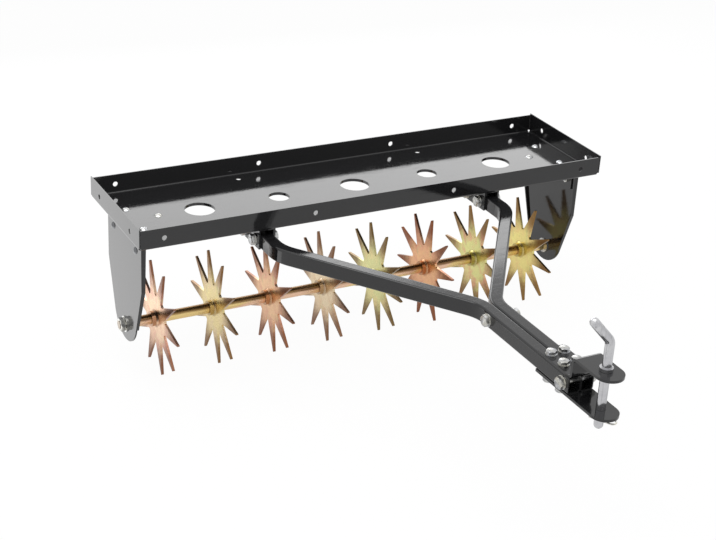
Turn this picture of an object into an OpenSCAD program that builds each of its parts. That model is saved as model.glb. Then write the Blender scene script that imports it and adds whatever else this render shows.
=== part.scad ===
// Tow behind aerator: a weight tray on two side plates, an axle with eight
// free turning star wheels, and a drawbar of two bent tubes with a pin hitch.
// The tray runs along X, the drawbar points to -Y and the wheels stand on Z = 0.

/* [Tray] */
// Length of the tray over its end walls
tray_length = 1016; // [960:1:1100]
// Depth of the tray over its front and back walls
tray_depth = 264; // [244:1:300]
// Height of the front and back walls over the underside of the deck
wall_height = 40; // [34:1:60]
// How much higher the end walls stand
end_wall_rise = 3; // [0:0.5:8]
// Thickness of the tray sheet
sheet = 2; // [1.6:0.1:3]
// Outer radius of the folds between deck and walls
fold_radius = 5; // [4:0.5:7]
// Slit left in the corners between the folded walls
corner_seam = 0.8; // [0.5:0.1:1.5]
// Distance between neighbouring holes in the front and back walls
wall_hole_pitch = 306; // [280:1:320]
// Distance between the two holes in each end wall
end_hole_pitch = 166; // [120:1:190]
// Diameter of the holes in the walls
wall_hole_d = 10; // [6:0.5:12]
// Distance between the two small holes near the back of the deck
rear_hole_pitch = 415; // [380:1:440]
// Distance of the small holes from the middle line of the deck
rear_hole_y = 108; // [96:1:116]
// Diameter of the small holes
rear_hole_d = 10; // [6:0.5:12]
// Distance between neighbouring large cut-outs in the deck
cutout_pitch = 168; // [150:1:190]
// Diameter of the three large cut-outs
large_cutout_d = 60; // [40:1:80]
// Diameter of the two medium cut-outs
medium_cutout_d = 42; // [30:1:60]
// Depth of the rolled collar under each cut-out
collar_depth = 4; // [2:0.5:8]

/* [Side plates] */
// Distance from the end wall in to the outer face of a side plate
plate_inset = 19; // [16:0.5:30]
// Width of a side plate at its top
plate_width = 180; // [150:1:210]
// Thickness of a side plate
plate_t = 3; // [2:0.5:5]
// Length of the straight upper part of a side plate
plate_straight = 108; // [90:1:130]
// Radius of the rounded foot of a side plate
plate_foot_r = 60; // [50:1:70]
// How far the foot reaches below the axle
plate_below_axle = 32; // [28:1:40]
// Width of the folded lips at the top of a side plate
lip_width = 10; // [8:0.5:16]
// Width of the folded lips at their lower ends
lip_end_width = 6; // [5.5:0.5:8]
// Height of the lips' lower ends over the start of the round foot
lip_stop = 4; // [2:0.5:20]
// Width of the bracket flange at the side plate
bracket_width = 150; // [140:1:160]
// Reach of the bracket flange under the deck
bracket_reach = 84; // [76:1:100]
// Height of the bracket leg that backs the side plate
bracket_height = 52; // [46:1:70]
// Thickness of the bracket steel
bracket_t = 3; // [2:0.5:5]
// Width of the bracket flange at its narrow end
bracket_end_width = 50; // [40:2:70]
// Distance from the side plate to where the flange starts to narrow
bracket_shoulder = 38; // [30:1:46]
// Distance from the side plate's outer face in to the outer deck bolts
outer_bolt_inset = 21; // [19:0.5:26]
// Distance of the outer deck bolts from the middle line
outer_bolt_y = 47; // [40:1:52]
// Distance from the side plate's outer face in to the inner deck bolt
inner_bolt_inset = 68; // [60:1:72]
// Distance of the side plate bolts from the middle line
plate_bolt_y = 60; // [54:1:62]
// Distance from the underside of the deck down to the side plate bolts
plate_bolt_drop = 33; // [28:1:36]

/* [Star wheels] */
// Number of star wheels
wheel_count = 8; // [8]
// Distance from a side plate to the middle of the wheel next to it
end_wheel_gap = 60.75; // [50:0.25:80]
// Radius from the axle to the tips of the tines
tine_reach = 116; // [100:1:125]
// Number of tines on a wheel
tine_count = 10; // [8:1:12]
// Radius of the disc that carries the tines
disc_r = 50; // [44:1:56]
// Width of a tine where it leaves the disc
tine_root_w = 25; // [18:1:28]
// Width of the blunt tip of a tine
tine_tip_w = 3.4; // [2.4:0.2:6]
// Thickness of the star plate
star_t = 5; // [3:0.5:8]
// Outer diameter of the hub
hub_d = 30; // [27:0.5:40]
// Length of the hub
hub_length = 26; // [16:1:40]
// Width of the weld between hub and star plate
weld = 3; // [2:0.5:5]
// Angle of the first tine on the wheels that stand alike
wheel_phase = 2; // [0:1:35]
// Angle of the first tine on the wheel that has turned on its own
odd_wheel_phase = 25; // [0:1:35]
// Which wheel has turned on its own
odd_wheel = 6; // [1:1:8]

/* [Axle] */
// Diameter of the axle rod
axle_d = 16; // [12:0.5:20]
// Height from the axle up to the underside of the deck
axle_drop = 217; // [205:1:240]
// Outer diameter of the spacer tubes
spacer_d = 21; // [20:0.5:26]
// Radial running clearance on the axle
running_clearance = 0.1; // [0.05:0.01:0.1]
// End play beside each hub
end_play = 0.3; // [0.2:0.1:0.6]
// Outer diameter of the axle washers
axle_washer_d = 32; // [28:1:40]
// Thickness of the axle washers
axle_washer_t = 2.5; // [1.5:0.5:4]
// Width across the flats of the axle nuts
axle_nut_af = 24; // [22:1:30]
// Height of the axle nuts
axle_nut_h = 10; // [8:0.5:11]

/* [Drawbar] */
// Width of the drawbar tube
tube_w = 25; // [22:0.5:30]
// Height of the drawbar tube
tube_h = 30; // [26:0.5:40]
// Wall of the drawbar tube
tube_wall = 2; // [1.5:0.5:3]
// Outer radius of the corners of the drawbar tube
tube_corner = 4; // [3.5:0.5:6]
// Distance between the centres of the two arms under the tray
arm_spread = 500; // [440:2:540]
// Gap from the underside of the deck down to the arms
arm_drop = 12; // [12:0.5:20]
// Distance from the axle forward to the back end of an arm
arm_rear = 40; // [30:1:50]
// Distance from the axle forward to the corner of the rear bend
rear_bend_y = 181; // [176:1:200]
// Distance from the axle forward to the corner of the front bend
front_bend_y = 513; // [496:1:536]
// Distance from the axle forward to the front end of the arms
arm_front = 795; // [780:1:830]
// Radius of the bends on the centre line
bend_r = 75; // [65:1:90]
// Gap between the two tubes where they run side by side
tube_gap = 0.4; // [0.2:0.1:1]
// Wall of the arm brackets
arm_bracket_t = 4; // [3:0.5:4.5]
// Length of an arm bracket
arm_bracket_length = 84; // [78:1:90]
// Side clearance between an arm and its bracket
arm_bracket_clearance = 0.3; // [0.2:0.1:0.6]
// How far the cheeks of the bracket reach below the middle of the arm
cheek_reach = 14; // [13:0.5:15]
// Distance between the two cross bolts of a bracket
bracket_bolt_pitch = 46; // [40:1:50]
// Distance between the two deck bolts of a bracket
bracket_deck_bolt_pitch = 36; // [30:1:44]
// Distance from the corner of the front bend forward to the first bolt through both arms
first_pair_bolt = 38; // [37:1:70]
// Distance from the front end of the arms back to the second bolt through both arms
second_pair_bolt = 16; // [14:1:20]

/* [Hitch] */
// Width of the hitch plates
hitch_w = 50; // [46:1:60]
// Thickness of the hitch plates
hitch_t = 5; // [4:0.5:7]
// Length of the hitch plates that lies on the tubes
hitch_lap = 92; // [86:1:110]
// Height of the step in the upper plate
hitch_step = 36; // [28:1:44]
// Inner radius of the folds in the upper plate
hitch_fold_r = 5; // [3:0.5:8]
// Distance from the tube ends back to the front hitch bolts
hitch_bolt_inset = 35; // [33:1:37]
// Distance between the front and the rear hitch bolts
hitch_bolt_pitch = 36; // [30:1:38]
// Distance from the tube ends forward to the hitch pin
pin_ahead = 57; // [50:1:70]
// Distance from the hitch pin to the rounded front end of the plates
plate_ahead = 34; // [30:1:45]
// Diameter of the hitch pin
pin_d = 16; // [12:0.5:18]
// Radial clearance of the hitch pin in the plates
pin_clearance = 0.25; // [0.1:0.05:0.5]
// Gap under the pin's collar, and between the pin and its clip
pin_play = 0.3; // [0.2:0.1:0.6]
// Height of the pin over the upper plate up to its bend
pin_stand = 46; // [36:1:60]
// Length of the bent grip
pin_grip = 47; // [30:1:60]
// Lean of the bent grip from upright
grip_lean = 42; // [30:1:70]
// Radius of the bend in the pin on the centre line
grip_bend_r = 18; // [16:1:26]
// Diameter of the collar that carries the pin
pin_collar_d = 23; // [21:0.5:28]
// Height of the collar that carries the pin
pin_collar_h = 6; // [4:0.5:10]
// How far the pin reaches below the lower plate
pin_below = 31; // [28:1:40]
// Wire of the pin clip
clip_wire = 3; // [2:0.2:3.6]
// Distance from the lower plate down to the middle of the clip
clip_drop = 16; // [12:0.5:18]
// Length of the clip's straight leg past the pin
clip_leg_end = 8; // [6:0.5:14]

/* [Fasteners] */
// Diameter of the small bolts in deck and brackets
small_bolt_d = 8; // [6:0.5:8]
// Diameter of the bolts through the hitch plates
hitch_bolt_d = 10; // [8:0.5:10]
// Diameter of the cross bolts through the arms
cross_bolt_d = 12; // [8:0.5:12]
// Clearance of every bolt in its hole, on the diameter
bolt_hole_play = 0.6; // [0.4:0.1:1]
// Radial clearance between a shank and its nut or washer
nut_clearance = 0.1; // [0.05:0.05:0.2]
// Length of a bolt end that shows past its nut
bolt_end = 1.2; // [0.6:0.2:1.2]
// Thickness of the bolt washers
washer_t = 2; // [1:0.5:2.5]

/* [Hidden] */
$fn = 48;
// How far cutting shapes reach past a face, and the half length of the drills for sheet
over = 1;
sheet_drill = 20;
// How far a bolt's shank laps into its head
head_lap = 0.01;

paint = [0.13, 0.13, 0.14];
zinc = [0.78, 0.79, 0.8];
yellow_zinc = [0.82, 0.66, 0.34];

// Heights over the ground
tip_r = tine_tip_w / 2;
function tip_depth(phase) =
    tip_r + (tine_reach - tip_r) * max([for (k = [0:tine_count - 1]) -sin(phase + k * 360 / tine_count)]);
axle_z = max(tip_depth(wheel_phase), tip_depth(odd_wheel_phase));
deck_under = axle_z + axle_drop;
deck_top = deck_under + sheet;
rim = deck_under + wall_height;
end_rim = rim + end_wall_rise;
wall_hole_z = deck_under + wall_height / 2;
arm_top = deck_under - arm_drop;
arm_mid = arm_top - tube_h / 2;
arm_under = arm_top - tube_h;

// Places along X and Y
plate_out = tray_length / 2 - plate_inset;
plate_in = plate_out - plate_t;
bracket_in = plate_in - bracket_t;
last_wheel_x = plate_in - end_wheel_gap;
wheel_pitch = 2 * last_wheel_x / (wheel_count - 1);
pair_x = (tube_w + tube_gap) / 2;
pin_y = -(arm_front + pin_ahead);
tip_y = pin_y - plate_ahead;
hitch_rear_y = -(arm_front - hitch_lap);
shift_y = -(tip_y + tray_depth / 2) / 2;

// Bolts: heads and nuts are sized from the bolt, as standard ones are
function head_af(d) = 1.6 * d;
function head_h(d) = 0.65 * d;
function nut_h(d) = 0.8 * d;
function low_nut_h(d) = 0.6 * d;
function dome_h(d) = 0.5 * d;
function washer_d(d) = 2 * d;
outer_bolt_x = plate_out - outer_bolt_inset;
inner_bolt_x = plate_out - inner_bolt_inset;
plate_bolt_z = deck_under - plate_bolt_drop;
arm_bracket_mid = arm_rear + arm_bracket_length / 2;
function pair_about(middle, pitch) = [middle - pitch / 2, middle + pitch / 2];
bracket_deck_bolt_ys = pair_about(arm_bracket_mid, bracket_deck_bolt_pitch);
bracket_cross_bolt_ys = pair_about(arm_bracket_mid, bracket_bolt_pitch);
drawbar_bolt_ys = [front_bend_y + first_pair_bolt, arm_front - second_pair_bolt];
hitch_bolt_ys = [arm_front - hitch_bolt_inset - hitch_bolt_pitch, arm_front - hitch_bolt_inset];

// General shapes

// A hexagon prism on Z = 0
module hexagon(af, h) {
    cylinder(d = af / cos(30), h = h, $fn = 6);
}

// A ring on Z = 0
module ring(outer_d, inner_d, h) {
    difference() {
        cylinder(d = outer_d, h = h);
        translate([0, 0, -over]) cylinder(d = inner_d, h = h + 2 * over);
    }
}

// A low round head on Z = 0
module dome(r, h) {
    ball = (r * r + h * h) / (2 * h);
    intersection() {
        translate([0, 0, h - ball]) sphere(r = ball);
        cylinder(r = r, h = h);
    }
}

// A bolt whose shank hangs from Z = 0 and whose round head stands on it
module round_bolt(d, length) {
    dome(d, dome_h(d));
    translate([0, 0, -length]) cylinder(d = d, h = length + head_lap);
}

// A bolt whose shank hangs from Z = 0 and whose hexagon head stands on it
module hex_bolt(d, length) {
    hexagon(head_af(d), head_h(d));
    translate([0, 0, -length]) cylinder(d = d, h = length + head_lap);
}

// A hexagon nut of the given height on Z = 0
module nut_of(d, h) {
    difference() {
        hexagon(head_af(d), h);
        translate([0, 0, -over]) cylinder(d = d + 2 * nut_clearance, h = h + 2 * over);
    }
}

module nut(d) {
    nut_of(d, nut_h(d));
}

module washer(d) {
    ring(washer_d(d), d + 2 * nut_clearance, washer_t);
}

// A hole from z = -depth to z = +depth
module drill(d, depth) {
    translate([0, 0, -depth]) cylinder(d = d, h = 2 * depth);
}

// A rectangle with round corners, exact arcs
module round_rectangle(w, h, r) {
    square([w - 2 * r, h], center = true);
    square([w, h - 2 * r], center = true);
    for (x = [-1, 1], y = [-1, 1])
        translate([x * (w / 2 - r), y * (h / 2 - r)]) circle(r = r);
}

// A quarter of a ring between two radii, in the quadrant x < 0, y < 0
module quarter_fold(outer_r, inner_r) {
    intersection() {
        difference() {
            circle(r = outer_r);
            circle(r = inner_r);
        }
        translate([-outer_r, -outer_r]) square(outer_r);
    }
}

// Tray

// Section of a folded edge: the deck runs to +x, the wall stands on the left at x = 0
module fold_section(deck_run, height) {
    translate([fold_radius, fold_radius]) quarter_fold(fold_radius, fold_radius - sheet);
    translate([0, fold_radius]) square([sheet, height - fold_radius]);
    translate([fold_radius, 0]) square([deck_run, sheet]);
}

// The strip of deck, front wall and back wall between the end folds
module long_folds() {
    length = tray_length - 2 * fold_radius;
    for (side = [0, 1])
        mirror([0, side, 0])
            translate([-length / 2, -tray_depth / 2, deck_under])
                rotate([90, 0, 90])
                    linear_extrude(length) fold_section(tray_depth / 2 - fold_radius + over, wall_height);
}

module end_folds() {
    width = tray_depth - 2 * fold_radius;
    for (side = [0, 1])
        mirror([side, 0, 0])
            translate([-tray_length / 2, width / 2, deck_under])
                rotate([90, 0, 0])
                    linear_extrude(width) fold_section(fold_radius, wall_height + end_wall_rise);
}

// The walls above the folds, which run on into the corners
module wall_strips() {
    inner_length = tray_length - 2 * (sheet + corner_seam);
    for (side = [-1, 1])
        translate([-inner_length / 2, side * (tray_depth - sheet) / 2 - sheet / 2, deck_under + fold_radius])
            cube([inner_length, sheet, wall_height - fold_radius]);
    for (side = [-1, 1])
        translate([side * (tray_length - sheet) / 2 - sheet / 2, -tray_depth / 2, deck_under + fold_radius])
            cube([sheet, tray_depth, wall_height + end_wall_rise - fold_radius]);
}

module cutout_collars() {
    for (k = [-2:2]) {
        d = k % 2 == 0 ? large_cutout_d : medium_cutout_d;
        translate([k * cutout_pitch, 0, deck_under - collar_depth])
            cylinder(d = d + 2 * sheet, h = collar_depth + sheet / 2);
    }
}

module tray_holes() {
    for (k = [-2:2]) {
        d = k % 2 == 0 ? large_cutout_d : medium_cutout_d;
        translate([k * cutout_pitch, 0, deck_under]) drill(d, sheet_drill);
    }
    for (k = [-1.5:1.5])
        translate([k * wall_hole_pitch, 0, wall_hole_z])
            rotate([90, 0, 0]) drill(wall_hole_d, tray_depth);
    for (side = [-1, 1])
        translate([0, side * end_hole_pitch / 2, wall_hole_z])
            rotate([0, 90, 0]) drill(wall_hole_d, tray_length);
    for (side = [-1, 1])
        translate([side * rear_hole_pitch / 2, rear_hole_y, deck_under]) drill(rear_hole_d, sheet_drill);
    deck_bolt_places() drill(small_bolt_d + bolt_hole_play, sheet_drill);
    arm_bracket_bolt_places() drill(small_bolt_d + bolt_hole_play, sheet_drill);
}

module tray_pan() {
    color(paint)
        difference() {
            union() {
                long_folds();
                end_folds();
                wall_strips();
                cutout_collars();
            }
            tray_holes();
        }
}

// Side plates and their brackets, drawn for the right side and mirrored

// Puts its children at the six bolts that hold the brackets to the deck
module deck_bolt_places() {
    for (side = [-1, 1]) {
        for (y = [-outer_bolt_y, outer_bolt_y])
            translate([side * outer_bolt_x, y, deck_top]) children();
        translate([side * inner_bolt_x, 0, deck_top]) children();
    }
}

// Puts its children at the bolts that hold a side plate, looking out of the right plate
module plate_bolt_places() {
    for (y = [-plate_bolt_y, plate_bolt_y])
        translate([plate_out, y, plate_bolt_z]) rotate([0, 90, 0]) children();
}

// The side plate from the side, with the axle at the origin. Its edges are straight at first,
// then run slanting onto a round foot, which they meet at the foot angle, a hair inside its edge.
plate_half = plate_width / 2;
plate_corner_z = axle_drop - plate_straight;
foot_z = plate_foot_r - plate_below_axle;
foot_reach = norm([plate_half, plate_corner_z - foot_z]);
foot_angle = atan2(plate_corner_z - foot_z, plate_half) - acos(plate_foot_r / foot_reach);
foot_lap = 0.02;
function on_foot(r) = [r * cos(foot_angle), foot_z + r * sin(foot_angle)];
foot_touch = on_foot(plate_foot_r - foot_lap);

module plate_outline() {
    translate([0, foot_z]) circle(r = plate_foot_r, $fn = 96);
    polygon([
        [-plate_half, axle_drop], [plate_half, axle_drop], [plate_half, plate_corner_z],
        foot_touch, [-foot_touch[0], foot_touch[1]], [-plate_half, plate_corner_z]
    ]);
}

// The strip of the outline that a lip is made of, from the top down to the foot
module lip_strip() {
    top = axle_drop - bracket_t;
    inner = plate_half - plate_t;
    inner_corner_z = foot_z + (plate_foot_r - plate_t - inner * cos(foot_angle)) / sin(foot_angle);
    polygon([
        [inner, top], [plate_half, top], [plate_half, plate_corner_z],
        foot_touch, on_foot(plate_foot_r - plate_t), [inner, inner_corner_z]
    ]);
}

// The room that the lips may fill: it narrows from the top down
module lip_taper() {
    bottom = foot_touch[1] + lip_stop;
    translate([plate_out, plate_width, axle_z])
        rotate([90, 0, 0])
            linear_extrude(2 * plate_width)
                polygon([
                    [over, axle_drop], [-lip_width, axle_drop],
                    [-lip_end_width, bottom], [over, bottom]
                ]);
}

module side_plate() {
    color(paint)
        difference() {
            union() {
                translate([plate_in, 0, axle_z])
                    rotate([90, 0, 90]) linear_extrude(plate_t) plate_outline();
                intersection() {
                    lip_taper();
                    for (side = [0, 1])
                        mirror([0, side, 0])
                            translate([plate_out - lip_width, 0, axle_z])
                                rotate([90, 0, 90]) linear_extrude(lip_width) lip_strip();
                }
            }
            translate([0, 0, axle_z]) rotate([0, 90, 0]) drill(axle_d + bolt_hole_play, tray_length);
            plate_bolt_places() drill(small_bolt_d + bolt_hole_play, sheet_drill);
        }
}

// The bracket: a leg behind the side plate and a tapered flange under the deck
module side_bracket() {
    half = bracket_width / 2;
    narrow = bracket_end_width / 2;
    shoulder = plate_in - bracket_shoulder;
    color(paint)
        difference() {
            union() {
                translate([bracket_in, -half, deck_under - bracket_height])
                    cube([bracket_t, bracket_width, bracket_height]);
                translate([0, 0, deck_under - bracket_t])
                    linear_extrude(bracket_t)
                        polygon([
                            [bracket_in + over, -half], [bracket_in + over, half], [shoulder, half],
                            [plate_in - bracket_reach, narrow], [plate_in - bracket_reach, -narrow],
                            [shoulder, -half]
                        ]);
            }
            deck_bolt_places() drill(small_bolt_d + bolt_hole_play, sheet_drill);
            plate_bolt_places() drill(small_bolt_d + bolt_hole_play, sheet_drill);
        }
}

module side_bracket_bolts() {
    deck_grip = sheet + bracket_t;
    plate_grip = plate_t + bracket_t;
    color(zinc) {
        deck_bolt_places() round_bolt(small_bolt_d, deck_grip + nut_h(small_bolt_d) + bolt_end);
        for (side = [0, 1])
            mirror([side, 0, 0])
                plate_bolt_places() round_bolt(small_bolt_d, plate_grip + nut_h(small_bolt_d) + bolt_end);
    }
}

module side_bracket_nuts() {
    deck_grip = sheet + bracket_t;
    plate_grip = plate_t + bracket_t;
    color(zinc) {
        deck_bolt_places() translate([0, 0, -deck_grip - nut_h(small_bolt_d)]) nut(small_bolt_d);
        for (side = [0, 1])
            mirror([side, 0, 0])
                plate_bolt_places() translate([0, 0, -plate_grip - nut_h(small_bolt_d)]) nut(small_bolt_d);
    }
}

// Axle and star wheels

// Lays its children, drawn along Z from 0, along the axle from x
module on_axle(x) {
    translate([x, 0, axle_z]) rotate([0, 90, 0]) children();
}

function wheel_x(n) = (n - 1) * wheel_pitch - last_wheel_x;
function phase_of(n) = n == odd_wheel ? odd_wheel_phase : wheel_phase;
axle_bore = axle_d + 2 * running_clearance;
axle_end = plate_out + axle_washer_t + axle_nut_h + bolt_end;

module axle_rod() {
    color(zinc) on_axle(-axle_end) cylinder(d = axle_d, h = 2 * axle_end);
}

module axle_spacers() {
    hub_side = hub_length / 2 + end_play;
    end_length = plate_in - axle_washer_t - (wheel_x(wheel_count) + hub_side);
    color(yellow_zinc) {
        for (n = [1:wheel_count - 1])
            on_axle(wheel_x(n) + hub_side) ring(spacer_d, axle_bore, wheel_pitch - 2 * hub_side);
        for (side = [0, 1])
            mirror([side, 0, 0])
                on_axle(wheel_x(wheel_count) + hub_side) ring(spacer_d, axle_bore, end_length);
    }
}

module axle_washers() {
    color(zinc)
        for (side = [0, 1])
            mirror([side, 0, 0]) {
                on_axle(plate_in - axle_washer_t) ring(axle_washer_d, axle_bore, axle_washer_t);
                on_axle(plate_out) ring(axle_washer_d, axle_bore, axle_washer_t);
            }
}

module axle_nuts() {
    color(zinc)
        for (side = [0, 1])
            mirror([side, 0, 0])
                on_axle(plate_out + axle_washer_t)
                    difference() {
                        hexagon(axle_nut_af, axle_nut_h);
                        translate([0, 0, -over]) cylinder(d = axle_bore, h = axle_nut_h + 2 * over);
                    }
}

// One tapered tine that points to +x
module tine() {
    root_x = sqrt(disc_r * disc_r - tine_root_w * tine_root_w / 4) - over;
    tip_x = tine_reach - tip_r;
    polygon([[root_x, -tine_root_w / 2], [tip_x, -tip_r], [tip_x, tip_r], [root_x, tine_root_w / 2]]);
    translate([tip_x, 0]) circle(r = tip_r, $fn = 16);
}

// The star seen along +x: an angle counts from the back of the machine upwards
module star_outline(phase) {
    circle(r = disc_r, $fn = 72);
    for (k = [0:tine_count - 1])
        rotate(phase + k * 360 / tine_count) tine();
}

// A star plate welded onto its hub, free to turn on the axle
module star_wheel(n) {
    color(yellow_zinc)
        translate([wheel_x(n), 0, axle_z])
            rotate([90, 0, 90])
                difference() {
                    union() {
                        translate([0, 0, -star_t / 2]) linear_extrude(star_t) star_outline(phase_of(n));
                        translate([0, 0, -hub_length / 2]) cylinder(d = hub_d, h = hub_length);
                        for (side = [0, 1])
                            mirror([0, 0, side])
                                translate([0, 0, star_t / 2]) weld_bead();
                    }
                    drill(axle_bore, hub_length);
                }
}

// A weld bead round the hub, as a ring with a sloping face
module weld_bead() {
    rotate_extrude()
        polygon([
            [hub_d / 2 - over, 0], [hub_d / 2 + weld, 0],
            [hub_d / 2, weld], [hub_d / 2 - over, weld]
        ]);
}

// Drawbar

// Section of the tube, standing in the plane of x and y
module tube_section(inset) {
    round_rectangle(tube_w - 2 * inset, tube_h - 2 * inset, tube_corner - inset);
}

// A bend comes out a touch fuller than the straight tube or rod, which laps into it at both ends
bend_swell = 0.05;
bend_lap = 1;
turn = atan2(arm_spread / 2 - pair_x, front_bend_y - rear_bend_y);
bend_setback = bend_r * tan(turn / 2);
slant = norm([arm_spread / 2 - pair_x, front_bend_y - rear_bend_y]);

// A straight stretch of tube along -y from the origin
module straight_tube(length, inset) {
    rotate([90, 0, 0]) linear_extrude(length) tube_section(inset);
}

// A bend that starts at the origin along -y and turns towards -x
module bent_tube(inset) {
    translate([-bend_r, 0, 0])
        rotate([0, 0, -turn])
            rotate_extrude(angle = turn)
                translate([bend_r, 0]) tube_section(inset - bend_swell);
}

// The right arm, bore or skin, over the given extra length at both ends
module arm_path(inset, extra) {
    rear_run = rear_bend_y - arm_rear - bend_setback;
    slant_run = slant - 2 * bend_setback;
    front_run = arm_front - front_bend_y - bend_setback;
    translate([arm_spread / 2, -arm_rear, arm_mid]) {
        translate([0, extra, 0]) straight_tube(rear_run + extra + bend_lap, inset);
        translate([0, -rear_run, 0]) {
            bent_tube(inset);
            translate([-bend_r, 0, 0]) rotate([0, 0, -turn]) translate([bend_r, 0, 0]) {
                translate([0, bend_lap, 0]) straight_tube(slant_run + 2 * bend_lap, inset);
                translate([0, -slant_run, 0]) {
                    mirror([1, 0, 0]) bent_tube(inset);
                    translate([bend_r, 0, 0]) rotate([0, 0, turn]) translate([-bend_r, bend_lap, 0])
                        straight_tube(front_run + extra + bend_lap, inset);
                }
            }
        }
    }
}

module draw_arm() {
    color(paint)
        difference() {
            arm_path(0, 0);
            arm_path(tube_wall, over);
            bracket_cross_places() drill(cross_bolt_d + bolt_hole_play, tube_w);
            drawbar_bolt_places() drill(cross_bolt_d + bolt_hole_play, 2 * tube_w);
            hitch_bolt_places() drill(hitch_bolt_d + bolt_hole_play, 2 * tube_h);
        }
}

// Puts its children at the cross bolts of the right bracket, looking to -x
module bracket_cross_places() {
    for (y = bracket_cross_bolt_ys)
        translate([arm_spread / 2, -y, arm_mid]) rotate([0, -90, 0]) children();
}

// Puts its children at the two bolts through both arms, looking to -x
module drawbar_bolt_places() {
    for (y = drawbar_bolt_ys)
        translate([0, -y, arm_mid]) rotate([0, -90, 0]) children();
}

// Puts its children at the four bolts of the hitch plates, on top of the tubes
module hitch_bolt_places() {
    for (x = [-pair_x, pair_x], y = hitch_bolt_ys)
        translate([x, -y, arm_top]) children();
}

// Puts its children at the bolts that hold the arm brackets to the deck
module arm_bracket_bolt_places() {
    for (side = [-1, 1], y = bracket_deck_bolt_ys)
        translate([side * arm_spread / 2, -y, deck_top]) children();
}

// A channel that hangs from the deck and holds the right arm between its cheeks
module arm_bracket() {
    inner_w = tube_w + 2 * arm_bracket_clearance;
    outer_w = inner_w + 2 * arm_bracket_t;
    height = deck_under - arm_mid + cheek_reach;
    color(paint)
        difference() {
            translate([(arm_spread - outer_w) / 2, -arm_rear - arm_bracket_length, deck_under - height])
                cube([outer_w, arm_bracket_length, height]);
            translate([(arm_spread - inner_w) / 2, -arm_rear - arm_bracket_length - over, 0])
                cube([inner_w, arm_bracket_length + 2 * over, deck_under - arm_bracket_t]);
            bracket_cross_places() drill(cross_bolt_d + bolt_hole_play, outer_w);
            arm_bracket_bolt_places() drill(small_bolt_d + bolt_hole_play, sheet_drill);
        }
}

bracket_half = tube_w / 2 + arm_bracket_clearance + arm_bracket_t;

module arm_bracket_bolts() {
    color(zinc)
        arm_bracket_bolt_places()
            round_bolt(small_bolt_d, sheet + arm_bracket_t + low_nut_h(small_bolt_d) + bolt_end);
}

module arm_bracket_nuts() {
    color(zinc)
        arm_bracket_bolt_places()
            translate([0, 0, -sheet - arm_bracket_t - low_nut_h(small_bolt_d)])
                nut_of(small_bolt_d, low_nut_h(small_bolt_d));
}

// Both brackets have the bolt heads on their left sides
module both_bracket_cross_places() {
    bracket_cross_places() children();
    translate([-arm_spread, 0, 0]) bracket_cross_places() children();
}

function cross_bolt_length(half) = 2 * half + 2 * washer_t + nut_h(cross_bolt_d) + bolt_end;

module arm_cross_bolts() {
    color(zinc)
        both_bracket_cross_places()
            translate([0, 0, bracket_half + washer_t])
                hex_bolt(cross_bolt_d, cross_bolt_length(bracket_half));
}

module arm_cross_nuts() {
    color(zinc)
        both_bracket_cross_places()
            translate([0, 0, -bracket_half - washer_t - nut_h(cross_bolt_d)]) nut(cross_bolt_d);
}

pair_half = tube_w + tube_gap / 2;

module drawbar_bolts() {
    color(zinc)
        drawbar_bolt_places()
            translate([0, 0, pair_half + washer_t])
                hex_bolt(cross_bolt_d, cross_bolt_length(pair_half));
}

module drawbar_nuts() {
    color(zinc)
        drawbar_bolt_places()
            translate([0, 0, -pair_half - washer_t - nut_h(cross_bolt_d)]) nut(cross_bolt_d);
}

module cross_bolt_washers() {
    color(zinc) {
        both_bracket_cross_places() {
            translate([0, 0, bracket_half]) washer(cross_bolt_d);
            translate([0, 0, -bracket_half - washer_t]) washer(cross_bolt_d);
        }
        drawbar_bolt_places() {
            translate([0, 0, pair_half]) washer(cross_bolt_d);
            translate([0, 0, -pair_half - washer_t]) washer(cross_bolt_d);
        }
    }
}

// Hitch

// Plan of a hitch plate from its rear edge to the rounded front end
module hitch_plan() {
    r = hitch_w / 2;
    translate([-r, tip_y + r]) square([hitch_w, hitch_rear_y - tip_y - r]);
    translate([0, tip_y + r]) circle(r = r, $fn = 64);
}

// Side view of the stepped upper plate: x is the machine's y and y is height over the tubes
module stepped_section() {
    foot_y = -arm_front;
    outer_r = hitch_fold_r + hitch_t;
    inner_turn = foot_y + hitch_fold_r;
    translate([inner_turn, 0]) square([hitch_rear_y - inner_turn, hitch_t]);
    translate([inner_turn, outer_r]) quarter_fold(outer_r, hitch_fold_r);
    translate([foot_y - hitch_t, outer_r]) square([hitch_t, hitch_step - outer_r - hitch_fold_r]);
    translate([foot_y - outer_r, hitch_step - hitch_fold_r])
        rotate(180) quarter_fold(outer_r, hitch_fold_r);
    translate([tip_y - over, hitch_step]) square([foot_y - outer_r - tip_y + over, hitch_t]);
}

module pin_bore() {
    translate([0, pin_y, 0]) cylinder(d = pin_d + 2 * pin_clearance, h = 2 * rim);
}

module hitch_upper_plate() {
    color(paint)
        difference() {
            intersection() {
                translate([-hitch_w / 2, 0, arm_top])
                    rotate([90, 0, 90]) linear_extrude(hitch_w) stepped_section();
                translate([0, 0, arm_top - over]) linear_extrude(2 * hitch_step + hitch_t) hitch_plan();
            }
            pin_bore();
            hitch_bolt_places() drill(hitch_bolt_d + bolt_hole_play, 2 * hitch_t);
        }
}

module hitch_lower_plate() {
    color(paint)
        difference() {
            translate([0, 0, arm_under - hitch_t]) linear_extrude(hitch_t) hitch_plan();
            pin_bore();
            hitch_bolt_places() drill(hitch_bolt_d + bolt_hole_play, 2 * tube_h);
        }
}

hitch_grip = tube_h + 2 * hitch_t + 2 * washer_t;

module hitch_bolts() {
    color(zinc)
        hitch_bolt_places()
            translate([0, 0, hitch_t + washer_t])
                hex_bolt(hitch_bolt_d, hitch_grip + nut_h(hitch_bolt_d) + bolt_end);
}

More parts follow.
